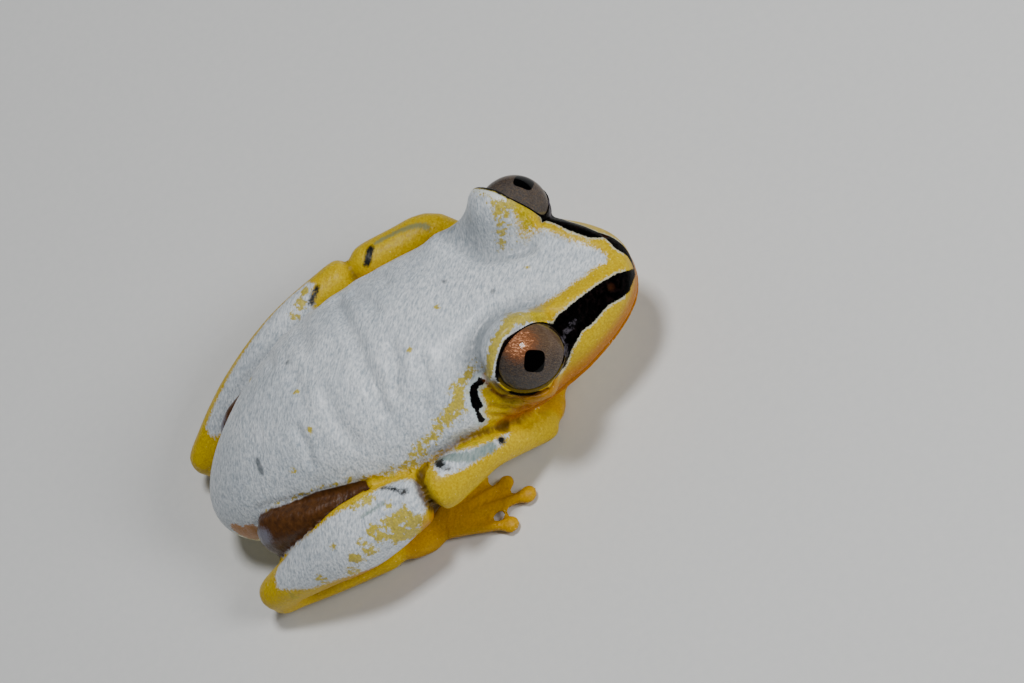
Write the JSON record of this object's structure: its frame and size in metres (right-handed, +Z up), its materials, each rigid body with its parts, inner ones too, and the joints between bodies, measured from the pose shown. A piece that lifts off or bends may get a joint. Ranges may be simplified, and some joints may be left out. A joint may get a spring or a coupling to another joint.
{
  "type": "blue-back reed frog model",
  "caption": "Life-size still model of a small reed frog at rest, crouched with folded limbs, pearly back, yellow edging and dark eye stripes.",
  "frame": {"origin": "centre of the bounding box on the floor that the frog rests on", "axes": "-Y points the way the body faces, +X to the frog's left, +Z up; the head is turned to the frog's right"},
  "size_m": [0.024, 0.034, 0.0114],
  "materials": {
    "pearl_back": "satin, moist, finely granular skin, pearly bluish white on the back",
    "yellow_skin": "satin, moist skin, bright yellow to orange",
    "eye_gloss": "wet gloss, grey-brown iris with a coppery glint and a black pupil"
  },
  "bodies": {
    "root": {"torso": "pearl_back", "head": "pearl_back", "eye_left": "eye_gloss", "eye_right": "eye_gloss", "upper_arm_left": "yellow_skin", "upper_arm_right": "yellow_skin", "forearm_left": "yellow_skin", "forearm_right": "yellow_skin", "hand_left": "yellow_skin", "hand_right": "yellow_skin", "thigh_left": "yellow_skin", "thigh_right": "yellow_skin", "shank_left": "yellow_skin", "shank_right": "yellow_skin", "tarsus_left": "yellow_skin", "tarsus_right": "yellow_skin", "foot_left": "yellow_skin", "foot_right": "yellow_skin"}
  },
  "joints": []
}
